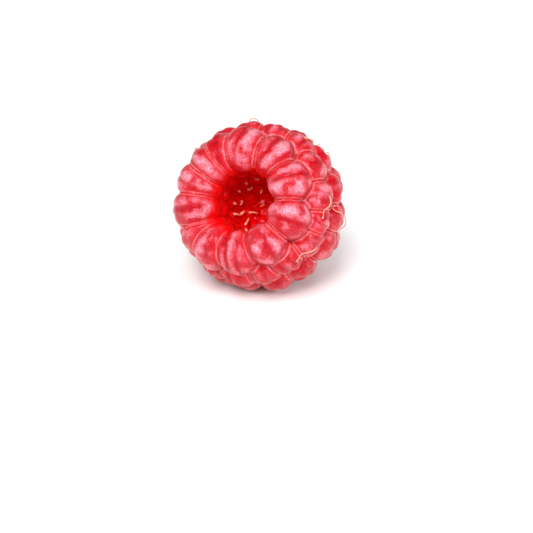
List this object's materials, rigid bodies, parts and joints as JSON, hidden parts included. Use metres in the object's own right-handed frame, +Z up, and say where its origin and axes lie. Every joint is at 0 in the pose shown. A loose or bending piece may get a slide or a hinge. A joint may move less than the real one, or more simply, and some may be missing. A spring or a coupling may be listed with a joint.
{
  "type": "raspberry",
  "caption": "Picked red raspberry lying on its side, mouth tilted up: a hollow cup of drupelets pressed together, with dried styles on some, resting on small flattened caps.",
  "frame": {"origin": "on the surface that the berry lies on, under the middle of its bounding box", "axes": "+Z up away from that surface; the hollow mouth faces -Y and is tilted up by about 30 degrees; +X to the right when looking into the mouth"},
  "size_m": [0.0218, 0.0208, 0.0205],
  "materials": {
    "flesh": "satin, with a fine pale bloom",
    "style": "dry, matte"
  },
  "bodies": {
    "root": {"raspberry": "flesh", "style_01": "style", "style_02": "style", "style_03": "style", "style_04": "style", "style_05": "style", "style_06": "style", "style_07": "style", "style_08": "style", "style_09": "style", "style_10": "style", "style_11": "style", "style_12": "style", "style_13": "style", "style_14": "style", "style_15": "style", "style_16": "style", "style_17": "style", "style_18": "style", "style_19": "style"}
  },
  "joints": []
}
